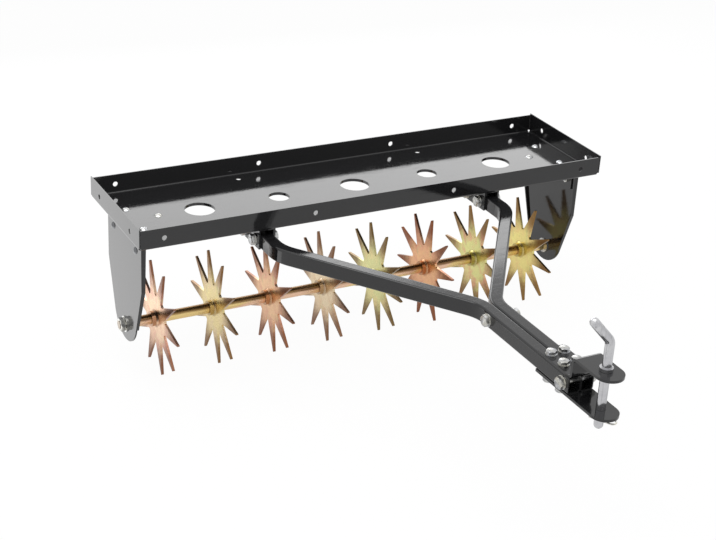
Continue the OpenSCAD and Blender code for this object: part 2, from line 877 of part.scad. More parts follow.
module hitch_nuts() {
    color(zinc)
        hitch_bolt_places()
            translate([0, 0, hitch_t + washer_t - hitch_grip - nut_h(hitch_bolt_d)]) nut(hitch_bolt_d);
}

module hitch_washers() {
    color(zinc)
        hitch_bolt_places() {
            translate([0, 0, hitch_t]) washer(hitch_bolt_d);
            translate([0, 0, hitch_t + washer_t - hitch_grip]) washer(hitch_bolt_d);
        }
}

upper_face = arm_top + hitch_step + hitch_t;
lower_face = arm_under - hitch_t;
clip_z = lower_face - clip_drop;
// The clip's straight leg points forward to the right, at this angle from +x
clip_turn = -60;

// The pin: a shank with a bullet nose, a collar on the upper plate and a bent grip
module hitch_pin() {
    foot = lower_face - pin_below;
    nose = pin_d / 2;
    color(zinc)
        translate([0, pin_y, 0])
            difference() {
                union() {
                    translate([0, 0, foot + nose])
                        cylinder(d = pin_d, h = upper_face + pin_stand + bend_lap - foot - nose);
                    translate([0, 0, foot + nose]) sphere(r = nose);
                    translate([0, 0, upper_face + pin_play]) cylinder(d = pin_collar_d, h = pin_collar_h);
                    translate([0, 0, upper_face + pin_stand]) pin_grip_bend();
                }
                translate([0, 0, clip_z])
                    rotate([0, 90, clip_turn]) drill(clip_wire + 2 * pin_clearance, pin_d);
            }
}

// The bend and the grip, which lean towards -x
module pin_grip_bend() {
    translate([-grip_bend_r, 0, 0])
        rotate([90, 0, 0])
            rotate_extrude(angle = grip_lean)
                translate([grip_bend_r, 0]) circle(d = pin_d + 2 * bend_swell);
    translate([-grip_bend_r * (1 - cos(grip_lean)), 0, grip_bend_r * sin(grip_lean)])
        rotate([0, -grip_lean, 0]) {
            translate([0, 0, -bend_lap]) cylinder(d = pin_d, h = bend_lap + pin_grip);
            translate([0, 0, pin_grip]) sphere(d = pin_d);
        }
}

// The clip is drawn flat: its straight leg runs along x through the pin at the origin.
// Its arcs are a touch thicker than its straight wire, and neighbours lap over each other.

wire_swell = 0.02;
wire_lap = 0.2;
clip_hook = 30;
clip_ride = pin_d / 2 + clip_wire / 2 + pin_play;
clip_valley_r = clip_wire * 1.6;
clip_lift = (clip_ride + clip_valley_r) * (1 - cos(clip_hook));
clip_eye_r = 0.75 * clip_ride;
clip_rise = clip_eye_r * (1 + cos(clip_hook)) - clip_ride * cos(clip_hook) - clip_lift;
clip_slope = clip_rise / sin(clip_hook);
clip_eye_x = (clip_ride + 2 * clip_valley_r + clip_eye_r) * sin(clip_hook) + clip_slope * cos(clip_hook);
clip_tip = clip_ride + clip_leg_end;

// An arc of wire round a centre, from one angle on by another, lapped by a little at both ends
module wire_arc(centre, r, from, by, swell, lap) {
    lap_angle = lap * 180 / (PI * r);
    translate([centre[0], centre[1], 0])
        rotate([0, 0, from - lap_angle])
            rotate_extrude(angle = by + 2 * lap_angle)
                translate([r, 0]) circle(d = clip_wire + 2 * swell, $fn = 20);
}

// A straight wire from a point in a direction, lapped by a little at its far end or at both
module wire_run(start, angle, length, lap) {
    translate([start[0], start[1], 0])
        rotate([0, 90, angle]) translate([0, 0, -lap])
            cylinder(d = clip_wire, h = length + lap + wire_lap, $fn = 20);
}

module hitch_pin_clip() {
    hump = [0, clip_lift];
    valley = [(clip_ride + clip_valley_r) * sin(clip_hook), clip_ride + clip_valley_r];
    far_valley = [-valley[0], valley[1]];
    slope_start = [(clip_ride + 2 * clip_valley_r) * sin(clip_hook), clip_ride * cos(clip_hook) + clip_lift];
    color(zinc)
        translate([0, pin_y, clip_z])
            rotate([0, 0, clip_turn]) {
                wire_run([-clip_tip, 0], 0, clip_tip + clip_eye_x, 0);
                wire_arc([clip_eye_x, clip_eye_r], clip_eye_r, -90, 180 + clip_hook, wire_swell, 0);
                wire_run(slope_start, clip_hook, clip_slope, wire_lap);
                wire_arc(valley, clip_valley_r, 270 - clip_hook, 2 * clip_hook, wire_swell, 0);
                wire_arc(hump, clip_ride, 90 - clip_hook, 2 * clip_hook, 0, wire_lap);
                wire_arc(far_valley, clip_valley_r, 270 - clip_hook / 2, 1.5 * clip_hook, wire_swell, 0);
            }
}

// Puts the machine's middle, from hitch to tray, over the origin
module placed() {
    translate([0, shift_y, 0]) children();
}

module mirrored() {
    mirror([1, 0, 0]) children();
}

placed() tray_pan();
placed() mirrored() side_bracket();  // left_side_bracket
placed() side_bracket();  // right_side_bracket
placed() mirrored() side_plate();  // left_side_plate
placed() side_plate();  // right_side_plate
placed() side_bracket_bolts();
placed() side_bracket_nuts();
placed() axle_rod();
placed() axle_spacers();
placed() axle_washers();
placed() axle_nuts();
placed() star_wheel(1);  // star_wheel_1
placed() star_wheel(2);  // star_wheel_2
placed() star_wheel(3);  // star_wheel_3
placed() star_wheel(4);  // star_wheel_4
placed() star_wheel(5);  // star_wheel_5
placed() star_wheel(6);  // star_wheel_6
placed() star_wheel(7);  // star_wheel_7
placed() star_wheel(8);  // star_wheel_8
placed() mirrored() arm_bracket();  // left_arm_bracket
placed() arm_bracket();  // right_arm_bracket
placed() arm_bracket_bolts();
placed() arm_bracket_nuts();
placed() mirrored() draw_arm();  // left_draw_arm
placed() draw_arm();  // right_draw_arm
placed() arm_cross_bolts();
placed() arm_cross_nuts();
placed() drawbar_bolts();
placed() drawbar_nuts();
placed() cross_bolt_washers();
placed() hitch_upper_plate();
placed() hitch_lower_plate();
placed() hitch_bolts();
placed() hitch_nuts();
placed() hitch_washers();
placed() hitch_pin();
placed() hitch_pin_clip();
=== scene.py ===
"""A tow behind aerator: the finish of its steel, its bolts and nuts, and a studio to show it in."""

import math

import bpy
from bpy.props import FloatProperty, FloatVectorProperty, PointerProperty
from mathutils import Matrix, Vector


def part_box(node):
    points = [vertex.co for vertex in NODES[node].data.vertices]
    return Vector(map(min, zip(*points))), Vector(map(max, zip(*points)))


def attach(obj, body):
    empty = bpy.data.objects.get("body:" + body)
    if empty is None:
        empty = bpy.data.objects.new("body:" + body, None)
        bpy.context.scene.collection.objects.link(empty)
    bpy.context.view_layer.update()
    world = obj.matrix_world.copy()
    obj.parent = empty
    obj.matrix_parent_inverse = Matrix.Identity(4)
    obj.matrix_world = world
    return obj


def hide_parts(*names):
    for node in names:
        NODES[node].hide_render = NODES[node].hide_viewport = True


bl_info = {
    "name": "Tow Behind Aerator",
    "version": (1, 0, 0),
    "blender": (4, 5, 0),
    "location": "View3D > Sidebar > Aerator",
    "description": "Finishes a tow behind aerator and sets up a studio round it",
    "category": "Object",
}

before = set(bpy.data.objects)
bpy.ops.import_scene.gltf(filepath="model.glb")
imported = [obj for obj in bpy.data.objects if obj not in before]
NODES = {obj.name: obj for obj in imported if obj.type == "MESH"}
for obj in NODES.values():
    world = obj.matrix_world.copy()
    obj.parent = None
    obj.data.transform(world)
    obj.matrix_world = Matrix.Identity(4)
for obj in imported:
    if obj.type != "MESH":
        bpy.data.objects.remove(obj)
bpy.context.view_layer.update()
WHEELS = [f"star_wheel_{n}" for n in range(1, 9)]
PAINTED = [
    "tray_pan", "left_side_bracket", "right_side_bracket", "left_side_plate", "right_side_plate",
    "left_arm_bracket", "right_arm_bracket", "left_draw_arm", "right_draw_arm",
    "hitch_upper_plate", "hitch_lower_plate",
]
ZINC_NODES = [
    "side_bracket_nuts", "axle_washers", "arm_bracket_bolts", "arm_bracket_nuts", "cross_bolt_washers",
    "hitch_washers",
]
ZINC_TINT = (0.66, 0.65, 0.60)
ZINC_GREEN = (0.50, 0.62, 0.28, 1.0)
WHITE = (1.0, 1.0, 1.0, 1.0)

# How much larger the radius of a nut's bore is than its bolt's, and how far a bore's cutter reaches
# past the nut's faces
BORE_SLACK = 0.0001
PAST_FACE = 0.001


# Shader sums

class Wire:
    """A socket in a shader, so that sums on what it carries read as plain sums."""

    def __init__(self, tree, socket=None):
        self.tree = tree
        self.socket = socket

    def node(self, kind, settings, inputs, output=0):
        """Adds any node: its type, its settings, then the values or links of its sockets."""
        made = self.tree.nodes.new(kind)
        for name, value in settings.items():
            setattr(made, name, value)
        for name, value in inputs.items():
            if isinstance(value, Wire):
                self.tree.links.new(value.socket, made.inputs[name])
            else:
                made.inputs[name].default_value = value
        if made.outputs:
            return Wire(self.tree, made.outputs[output])

    def sum(self, operation, first, second=0.0):
        return self.node("ShaderNodeMath", {"operation": operation}, {0: first, 1: second})

    def __add__(self, other):
        return self.sum("ADD", self, other)

    def __sub__(self, other):
        return self.sum("SUBTRACT", self, other)

    def __mul__(self, other):
        return self.sum("MULTIPLY", self, other)

    def __truediv__(self, other):
        return self.sum("DIVIDE", self, other)

    def __rsub__(self, other):
        return self.sum("SUBTRACT", other, self)

    def __rtruediv__(self, other):
        return self.sum("DIVIDE", other, self)

    __radd__ = __add__
    __rmul__ = __mul__


def rgba(colour, share=1.0):
    """A colour with full alpha, darkened or lightened to a share of itself."""
    return (*(min(1.0, c * share) for c in colour), 1.0)


def new_material(name):
    """A material with an empty tree: returns it, a wire to add nodes with, and the place on the piece."""
    material = bpy.data.materials.new(name)
    material.use_nodes = True
    material.node_tree.nodes.clear()
    wire = Wire(material.node_tree)
    place = wire.node("ShaderNodeTexCoord", {}, {}, "Object")
    return material, wire, place


def noise(wire, place, scale, detail=3.0, distortion=0.0):
    inputs = {"Vector": place, "Scale": scale, "Detail": detail, "Distortion": distortion}
    return wire.node("ShaderNodeTexNoise", {}, inputs)


def mask(wire, value, low, high):
    """0 where the value is under low, 1 where it is over high, smooth between."""
    inputs = {"Value": value, "From Min": low, "From Max": high}
    return wire.node("ShaderNodeMapRange", {"interpolation_type": "SMOOTHSTEP"}, inputs)


def blend(wire, factor, first, second):
    """A colour between two colours, by a factor."""
    return wire.node("ShaderNodeMix", {"data_type": "RGBA"}, {0: factor, 6: first, 7: second}, 2)


def stretched(wire, place, scale):
    """The place scaled on each axis: a pattern on it is drawn out where the scale is small."""
    return wire.node("ShaderNodeMapping", {}, {"Vector": place, "Scale": scale})


def height_on(wire, place):
    """How high a point lies, in metres."""
    return wire.node("ShaderNodeSeparateXYZ", {}, {"Vector": place}, 2)


def ray(wire, kind):
    """1 on a ray of that kind and 0 on any other."""
    return wire.node("ShaderNodeLightPath", {}, {}, kind)


def bump(wire, height, strength, distance):
    inputs = {"Height": height, "Strength": strength, "Distance": distance}
    return wire.node("ShaderNodeBump", {}, inputs)


def finish_shader(wire, inputs):
    """Closes a material with a surface shader."""
    surface = wire.node("ShaderNodeBsdfPrincipled", {}, inputs)
    wire.node("ShaderNodeOutputMaterial", {}, {"Surface": surface})


def black_coat(name, colour, roughness, ior):
    """Gloss black powder coat: a fine orange peel, dust specks and soft handling marks."""
    material, wire, place = new_material(name)
    peel = noise(wire, place, scale=420.0, detail=2.0)
    broad = noise(wire, place, scale=5.0, detail=4.0, distortion=0.6)
    rub = noise(wire, stretched(wire, place, (3.0, 26.0, 26.0)), scale=7.0, detail=5.0, distortion=0.4)
    speck = mask(wire, noise(wire, place, scale=900.0, detail=1.0), 0.72, 0.8)
    dust = mask(wire, noise(wire, place, scale=60.0, detail=6.0), 0.55, 0.75) * 0.35 + speck * 0.5
    dust_pale = rgba([c * 1.4 + 0.006 for c in colour])
    coat = blend(wire, broad, rgba(colour, 0.75), rgba(colour))
    base = blend(wire, dust * 0.5, coat, dust_pale)
    rough = roughness + mask(wire, rub, 0.45, 0.7) * 0.07 + speck * 0.15 + (broad - 0.5) * 0.05
    finish_shader(wire, {
        "Base Color": base, "Roughness": rough, "IOR": ior,
        "Normal": bump(wire, peel, 0.12, 0.0003),
    })
    return material


def bright_metal(name, colour, tint, roughness, grain=(1.0, 1.0, 1.0), streaking=0.5, shade_below=-1.0):
    """Plated or drawn metal: two tints that drift into each other, streaks, fine grain and dull spots.

    Below the height shade_below it is darkened with painted shade, as on the bolts of the side plates under
    the tray.
    """
    material, wire, place = new_material(name)
    drift = noise(wire, place, scale=38.0, detail=4.0, distortion=1.2)
    lines = noise(wire, stretched(wire, place, grain), scale=520.0)
    streaks = mask(wire, noise(wire, stretched(wire, place, grain), scale=190.0, detail=2.0), 0.5, 0.64)
    spots = mask(wire, noise(wire, place, scale=170.0, detail=5.0), 0.56, 0.72)
    # Painted shade: the metal below shade_below is darkened to the same dark tone as the dull streaks.
    painted_shade_low = 1.0 - mask(wire, height_on(wire, place), shade_below - 0.002, shade_below)
    dull = wire.sum("MAXIMUM", painted_shade_low, streaks * streaking)
    base = blend(wire, mask(wire, drift, 0.35, 0.68), rgba(colour), rgba(tint))
    base = blend(wire, spots * 0.22, base, rgba(colour, 0.55))
    base = blend(wire, dull, base, rgba(colour, 0.3))
    rough = roughness + (lines - 0.5) * 0.16 + spots * 0.12
    finish_shader(wire, {
        "Base Color": base, "Metallic": 1.0, "Roughness": rough,
        "Normal": bump(wire, lines, 0.18, 0.0002),
    })
    return material


def wheel_finish(name, middle, main, tint):
    """Yellow zinc on a star wheel: colours that swirl, browner at the hub, and darker towards the tine ends
    with painted shade.

    The reach is how far a point lies from the axle, in metres. The hub's brown is gone at hub_end, and the
    painted shade on the tine ends grows from tip_shade_begin to tip_shade_full.
    """
    material, wire, place = new_material(name)
    hub_full = 0.0155
    hub_end = 0.021
    tip_shade_begin = 0.038
    tip_shade_full = 0.094
    centred = wire.node("ShaderNodeVectorMath", {"operation": "SUBTRACT"}, {0: place, 1: middle})
    flat = wire.node("ShaderNodeVectorMath", {"operation": "MULTIPLY"}, {0: centred, 1: (0.0, 1.0, 1.0)})
    reach = wire.node("ShaderNodeVectorMath", {"operation": "LENGTH"}, {0: flat}, 1)
    swirl = noise(wire, centred, scale=17.0, distortion=2.2)
    fine = noise(wire, centred, scale=310.0, detail=4.0)
    cloud = noise(wire, centred, scale=60.0, detail=5.0, distortion=0.8)
    tinted = mask(wire, swirl + (reach - 0.06) * 2.5, 0.36, 0.7)
    greenish = mask(wire, noise(wire, centred, scale=23.0, detail=2.0, distortion=3.0), 0.58, 0.74)
    pale = mask(wire, cloud, 0.5, 0.8)
    # Painted shade: the tine ends darken to brown, standing in for the shade on their thin sides.
    tips = mask(wire, reach + (cloud - 0.5) * 0.04, tip_shade_begin, tip_shade_full)
    hub = 1.0 - mask(wire, reach, hub_full, hub_end)
    brown = rgba((main[0] * 0.24, main[1] * 0.14, main[2] * 0.11))
    base = blend(wire, tinted, rgba(main), rgba(tint))
    base = blend(wire, greenish * 0.38, base, ZINC_GREEN)
    base = blend(wire, pale * 0.45, base, rgba(main, 1.25))
    # Painted shade towards the tine ends.
    base = blend(wire, tips * 0.93, base, brown)
    base = blend(wire, hub * 0.55, base, brown)
    rough = 0.30 + (fine - 0.5) * 0.2 + mask(wire, cloud, 0.55, 0.8) * 0.12
    finish_shader(wire, {
        "Base Color": base, "Metallic": 1.0, "Roughness": rough,
        "Normal": bump(wire, fine, 0.15, 0.0002),
    })
    return material


def tube_finish(name, axis_height, radius):
    """Yellow zinc on the spacer tubes: gold and pink that drift, brown streaks, and a painted reflection of
    the black tray that darkens the top.
    """
    material, wire, place = new_material(name)
    gold = (0.80, 0.60, 0.26, 1.0)
    pink = (0.84, 0.56, 0.40, 1.0)
    streak_brown = (0.46, 0.26, 0.10, 1.0)
    # Painted reflection: the dark of the black tray, mirrored in the top of the tube.
    reflected_tray_dark = (0.15, 0.075, 0.025, 1.0)
    along = stretched(wire, place, (0.05, 1.0, 1.0))
    drift = noise(wire, stretched(wire, place, (0.35, 1.0, 1.0)), scale=26.0, distortion=1.4)
    lines = noise(wire, along, scale=520.0)
    streaks = mask(wire, noise(wire, along, scale=210.0), 0.5, 0.66)
    over_axis = (height_on(wire, place) - axis_height) / radius
    # Painted reflection: this mask grows over the top of the tube, where it faces the black tray.
    top = mask(wire, over_axis + (drift - 0.5) * 0.5, 0.12, 0.58)
    base = blend(wire, mask(wire, drift, 0.42, 0.6), gold, pink)
    base = blend(wire, streaks * 0.35, base, streak_brown)
    # Painted reflection of the black tray over the top of the tube.
    base = blend(wire, top * 0.92, base, reflected_tray_dark)
    finish_shader(wire, {
        "Base Color": base, "Metallic": 1.0, "Roughness": 0.27 + (lines - 0.5) * 0.16,
        "Normal": bump(wire, lines, 0.18, 0.0002),
    })
    return material


# Pieces

def paint_node(node, material):
    data = NODES[node].data
    data.materials.clear()
    data.materials.append(material)


def solids_of(node):
    """The lowest and highest corners of each separate solid in a node, left to right."""
    mesh = NODES[node].data
    keys = [tuple(round(c, 6) for c in v.co) for v in mesh.vertices]
    leader = {k: k for k in keys}

    def lead(k):
        while leader[k] != k:
            leader[k] = leader[leader[k]]
            k = leader[k]
        return k

    for face in mesh.polygons:
        first = lead(keys[face.vertices[0]])
        for v in face.vertices[1:]:
            leader[lead(keys[v])] = first
    groups = {}
    for k in leader:
        groups.setdefault(lead(k), []).append(k)
    found = []
    for points in groups.values():
        low = Vector([min(p[i] for p in points) for i in range(3)])
        high = Vector([max(p[i] for p in points) for i in range(3)])
        found.append((low, high))
    return sorted(found, key=lambda pair: tuple(pair[0]))


def deselect():
    if bpy.context.object and bpy.context.object.mode != "OBJECT":
        bpy.ops.object.mode_set(mode="OBJECT")
    bpy.ops.object.select_all(action="DESELECT")


def started(name):
    """Names the primitive that was just added."""
    piece = bpy.context.object
    piece.name = name
    piece.data.name = name
    return piece


def add_cylinder(name, radius, low, high, sides=48):
    deselect()
    bpy.ops.mesh.primitive_cylinder_add(
        vertices=sides, radius=radius, depth=high - low, location=(0, 0, (low + high) / 2))
    bpy.ops.object.transform_apply(location=True, rotation=True, scale=True)
    return started(name)


def add_cone(name, low_radius, high_radius, low, high):
    deselect()
    bpy.ops.mesh.primitive_cone_add(
        vertices=64, radius1=low_radius, radius2=high_radius, depth=high - low,
        location=(0, 0, (low + high) / 2))
    bpy.ops.object.transform_apply(location=True, rotation=True, scale=True)
    return started(name)


def activate(piece):
    deselect()
    piece.select_set(True)
    bpy.context.view_layer.objects.active = piece


def apply_boolean(piece, cutter, operation):
    """Cuts a piece with another, which is used up."""
    activate(piece)
    modifier = piece.modifiers.new("Cut", "BOOLEAN")
    modifier.operation = operation
    modifier.object = cutter
    bpy.ops.object.modifier_apply(modifier=modifier.name)
    bpy.data.objects.remove(cutter)
    return piece


def join(pieces):
    activate(pieces[0])
    for piece in pieces[1:]:
        piece.select_set(True)
    bpy.ops.object.join()
    return pieces[0]


def chamfered_hexagon(name, flats, height, both_ends):
    """A hexagon on Z = 0 whose corners are turned off at the top, and at the bottom if both ends are."""
    corner = flats / math.sqrt(3)
    face_radius = flats / 2 * 0.96
    wide = corner * 2.4
    rise = (wide - face_radius) * math.tan(math.radians(30))
    piece = add_cylinder(name, corner, 0.0, height, 6)
    apply_boolean(piece, add_cone("top_cut", wide, face_radius, height - rise, height), "INTERSECT")
    if both_ends:
        apply_boolean(piece, add_cone("bottom_cut", face_radius, wide, 0.0, rise), "INTERSECT")
    return piece


def bevel_rim(piece, z, width):
    """Rounds the edges that lie at a height."""
    activate(piece)
    bpy.ops.object.mode_set(mode="EDIT")
    bpy.ops.mesh.select_all(action="DESELECT")
    bpy.ops.object.mode_set(mode="OBJECT")
    mesh = piece.data
    for edge in mesh.edges:
        ends = [mesh.vertices[v].co.z for v in edge.vertices]
        edge.select = all(abs(end - z) < 1e-6 for end in ends)
    bpy.ops.object.mode_set(mode="EDIT")
    bpy.ops.mesh.select_mode(type="EDGE")
    bpy.ops.mesh.bevel(offset=width, segments=2, profile=0.5, affect="EDGES")
    bpy.ops.object.mode_set(mode="OBJECT")


def smooth(piece):
    activate(piece)
    bpy.ops.object.shade_smooth_by_angle(angle=math.radians(32))


def model_bolt(name, diameter, length, sizes):
    """A hexagon bolt: its head stands on Z = 0 and its shank hangs down by its length."""
    head = chamfered_hexagon(name, sizes.flats_ratio * diameter, sizes.head_ratio * diameter, False)
    radius = diameter / 2
    end_bevel = 0.09 * diameter
    pitch = 0.15 * diameter
    first_thread = -length + 0.12 * diameter
    shank = add_cylinder("shank", radius, -length, 0.0)
    bevel_rim(shank, -length, end_bevel)
    threads = []
    for turn in range(3):
        low = first_thread + turn * pitch
        threads.append(add_cone("thread", radius * 0.96, radius * 1.02, low, low + pitch / 2))
    return join([head, shank, *threads])


def bored_nut(name, diameter, flats, height):
    """A hexagon on Z = 0, chamfered at both ends, with a bore for a bolt or rod."""
    nut = chamfered_hexagon(name, flats, height, True)
    bore = add_cylinder("bore", diameter / 2 + BORE_SLACK, -PAST_FACE, height + PAST_FACE)
    return apply_boolean(nut, bore, "DIFFERENCE")


def model_nut(name, diameter, height, sizes):
    """A hexagon nut on Z = 0 with a countersunk bore."""
    nut = bored_nut(name, diameter, sizes.flats_ratio * diameter, height)
    bore = diameter / 2 + BORE_SLACK
    lip = 0.0008
    past = 0.0001
    ends = (
        (-past, lip, bore + lip, bore),
        (height - lip, height + past, bore, bore + lip),
    )
    for low, high, low_radius, high_radius in ends:
        apply_boolean(nut, add_cone("countersink", low_radius, high_radius, low, high), "DIFFERENCE")
    return nut


def place_copies(piece, name, places):
    """Copies a piece to each place, joins the copies and puts their origin at the frame's."""
    copies = []
    for place in places:
        copy = piece.copy()
        copy.data = piece.data.copy()
        bpy.context.collection.objects.link(copy)
        copy.matrix_world = place
        copies.append(copy)
    bpy.data.objects.remove(piece)
    done = join(copies)
    done.name = name
    done.data.name = name
    bpy.ops.object.transform_apply(location=True, rotation=True, scale=True)
    smooth(done)
    return done


def hexagon_zinc(context):
    """The duller zinc of the hexagon bolts and nuts, made when it is first asked for."""
    made = bpy.data.materials.get("hexagon_zinc")
    if made:
        return made
    colour = [c * 0.8 for c in context.scene.aerator_finish.zinc_colour]
    return bright_metal("hexagon_zinc", colour, (0.55, 0.54, 0.49), 0.28)


def seated(piece, node, material):
    """Puts the piece on the frame in place of a node."""
    piece.data.materials.clear()
    piece.data.materials.append(material)
    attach(piece, "frame")
    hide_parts(node)


def upright(x, y, z):
    return Matrix.Translation((x, y, z))


def looking_left(x, y, z):
    """Turns a piece's Z to the machine's -X."""
    return Matrix.Translation((x, y, z)) @ Matrix.Rotation(math.radians(-90), 4, "Y")


# Sizes that a user would change

class AeratorFinish(bpy.types.PropertyGroup):
    coat_colour: FloatVectorProperty(
        name="Coat", description="Colour of the powder coat", subtype="COLOR",
        size=3, default=(0.012, 0.012, 0.013), min=0.0, max=1.0)
    coat_roughness: FloatProperty(
        name="Coat Roughness", description="How dull the powder coat is", default=0.07, min=0.0, max=1.0)
    coat_ior: FloatProperty(
        name="Coat Reflection", description="Refractive index of the powder coat",
        default=1.55, min=1.0, max=3.0)
    zinc_colour: FloatVectorProperty(
        name="Zinc", description="Colour of the bright zinc on bolts and nuts", subtype="COLOR",
        size=3, default=(0.58, 0.59, 0.61), min=0.0, max=1.0)
    chrome_colour: FloatVectorProperty(
        name="Pin", description="Colour of the bright plating on the hitch pin", subtype="COLOR",
        size=3, default=(0.60, 0.60, 0.61), min=0.0, max=1.0)
    rod_colour: FloatVectorProperty(
        name="Axle", description="Colour of the drawn steel of the axle", subtype="COLOR",
        size=3, default=(0.46, 0.42, 0.36), min=0.0, max=1.0)


class AeratorSizes(bpy.types.PropertyGroup):
    cross_bolt: FloatProperty(
        name="Cross Bolt", description="Diameter of the bolts through the arms", unit="LENGTH", default=0.012)
    hitch_bolt: FloatProperty(
        name="Hitch Bolt", description="Diameter of the bolts through the hitch plates", unit="LENGTH",
        default=0.010)
    axle: FloatProperty(name="Axle", description="Diameter of the axle", unit="LENGTH", default=0.016)
    flats_ratio: FloatProperty(
        name="Flats", description="Width across flats for each unit of bolt diameter", default=1.6)
    head_ratio: FloatProperty(
        name="Head", description="Height of a head for each unit of bolt diameter", default=0.65)


class AeratorStudio(bpy.types.PropertyGroup):
    camera_offset: FloatVectorProperty(
        name="Camera", description="Camera, from the middle of the tray's top", subtype="TRANSLATION",
        size=3, default=(-1.3796, -2.4974, 1.1796))
    camera_yaw: FloatProperty(
        name="Yaw", description="Turn of the camera from straight ahead", subtype="ANGLE",
        default=math.radians(29.26))
    camera_pitch: FloatProperty(
        name="Pitch", description="How far the camera looks down", subtype="ANGLE",
        default=math.radians(26.33))
    camera_roll: FloatProperty(
        name="Roll", description="Tilt of the camera", subtype="ANGLE", default=math.radians(3.45))
    lens_mm: FloatProperty(name="Lens", description="Focal length in millimetres", default=77.33)
    room_light: FloatProperty(name="Room", description="Strength of the light from all round", default=0.55)
    key_watts: FloatProperty(name="Key", description="Power of the large lamp overhead", default=34.0)
    back_watts: FloatProperty(name="Back", description="Power of the panel behind the tray", default=21.5)
    side_watts: FloatProperty(
        name="Side", description="Power of the panel on the floor at the left", default=1.4)
    floor_in_coat: FloatProperty(
        name="Floor Glow", description="How bright shiny pieces see the floor", default=0.55)


# Operators

class AERATOR_OT_paint_steel(bpy.types.Operator):
    """Coats the tray, side plates, drawbar and hitch plates"""

    bl_idname = "aerator.paint_steel"
    bl_label = "Paint Steel"

    def execute(self, context):
        finish = context.scene.aerator_finish
        coat = black_coat("black_coat", finish.coat_colour, finish.coat_roughness, finish.coat_ior)
        for node in PAINTED:
            paint_node(node, coat)
        return {"FINISHED"}


class AERATOR_OT_finish_wheels(bpy.types.Operator):
    """Gives each star wheel its own bloom of yellow zinc"""

    bl_idname = "aerator.finish_wheels"
    bl_label = "Finish Star Wheels"

    def execute(self, context):
        yellow = (0.86, 0.70, 0.34)
        blooms = [
            ((0.88, 0.62, 0.42), (0.74, 0.40, 0.30)),
            (yellow, (0.82, 0.64, 0.40)),
            ((0.88, 0.56, 0.33), (0.74, 0.38, 0.26)),
            ((0.84, 0.68, 0.46), (0.74, 0.52, 0.32)),
            ((0.74, 0.72, 0.34), yellow),
            ((0.84, 0.47, 0.25), (0.72, 0.35, 0.22)),
            ((0.78, 0.75, 0.31), (0.78, 0.40, 0.25)),
            ((0.88, 0.75, 0.28), (0.84, 0.60, 0.26)),
        ]
        for node, (main, tint) in zip(WHEELS, blooms):
            low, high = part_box(node)
            paint_node(node, wheel_finish(f"{node}_zinc", (low + high) / 2, main, tint))
        return {"FINISHED"}


class AERATOR_OT_finish_axle(bpy.types.Operator):
    """Finishes the axle rod and its spacer tubes"""

    bl_idname = "aerator.finish_axle"
    bl_label = "Finish Axle"

    def execute(self, context):
        finish = context.scene.aerator_finish
        rod_tint = (0.36, 0.30, 0.24)
        grain_along_x = (0.04, 1.0, 1.0)
        steel = bright_metal("drawn_steel", finish.rod_colour, rod_tint, 0.34, grain=grain_along_x)
        paint_node("axle_rod", steel)
        low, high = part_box("axle_spacers")
        middle = (low + high) / 2
        paint_node("axle_spacers", tube_finish("spacer_zinc", middle.z, high.z - middle.z))
        return {"FINISHED"}


class AERATOR_OT_finish_fasteners(bpy.types.Operator):
    """Plates the round bolts, small nuts and washers"""

    bl_idname = "aerator.finish_fasteners"
    bl_label = "Finish Fasteners"

    def execute(self, context):
        colour = context.scene.aerator_finish.zinc_colour
        zinc = bright_metal("white_zinc", colour, ZINC_TINT, 0.24)
        for node in ZINC_NODES:
            paint_node(node, zinc)
        # The bolts of the side plates are darkened with painted shade below the tray's underside.
        tray_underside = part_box("tray_pan")[0].z
        shaded_plate_bolts = bright_metal("plate_bolt_zinc_painted_shade", colour, ZINC_TINT, 0.24, shade_below=tray_underside)
        paint_node("side_bracket_bolts", shaded_plate_bolts)
        return {"FINISHED"}


class AERATOR_OT_model_hitch_bolts(bpy.types.Operator):
    """Models the upright hexagon bolts and nuts that clamp the hitch plates"""

    bl_idname = "aerator.model_hitch_bolts"
    bl_label = "Model Hitch Bolts"

    def execute(self, context):
        sizes = context.scene.aerator_sizes
        d = sizes.hitch_bolt
        zinc = hexagon_zinc(context)
        solids = solids_of("hitch_bolts")
        low, high = solids[0]
        length = high.z - low.z - sizes.head_ratio * d
        bolt = model_bolt("bolt", d, length, sizes)
        places = [upright((a.x + b.x) / 2, (a.y + b.y) / 2, a.z + length) for a, b in solids]
        seated(place_copies(bolt, "hitch_bolts_detailed", places), "hitch_bolts", zinc)
        solids = solids_of("hitch_nuts")
        nut = model_nut("nut", d, solids[0][1].z - solids[0][0].z, sizes)
        places = [upright((a.x + b.x) / 2, (a.y + b.y) / 2, a.z) for a, b in solids]
        seated(place_copies(nut, "hitch_nuts_detailed", places), "hitch_nuts", zinc)
        return {"FINISHED"}


class AERATOR_OT_model_cross_bolts(bpy.types.Operator):
    """Models the hexagon bolts and nuts that lie across the arms and their brackets"""

    bl_idname = "aerator.model_cross_bolts"
    bl_label = "Model Cross Bolts"

    def execute(self, context):
        sizes = context.scene.aerator_sizes
        d = sizes.cross_bolt
        zinc = hexagon_zinc(context)
        for group in ("arm_cross", "drawbar"):
            solids = solids_of(f"{group}_bolts")
            low, high = solids[0]
            length = high.x - low.x - sizes.head_ratio * d
            bolt = model_bolt("bolt", d, length, sizes)
            places = [looking_left(b.x - length, (a.y + b.y) / 2, (a.z + b.z) / 2) for a, b in solids]
            seated(place_copies(bolt, f"{group}_bolts_detailed", places), f"{group}_bolts", zinc)
            solids = solids_of(f"{group}_nuts")
            nut = model_nut("nut", d, solids[0][1].x - solids[0][0].x, sizes)
            places = [looking_left(b.x, (a.y + b.y) / 2, (a.z + b.z) / 2) for a, b in solids]
            seated(place_copies(nut, f"{group}_nuts_detailed", places), f"{group}_nuts", zinc)
        return {"FINISHED"}


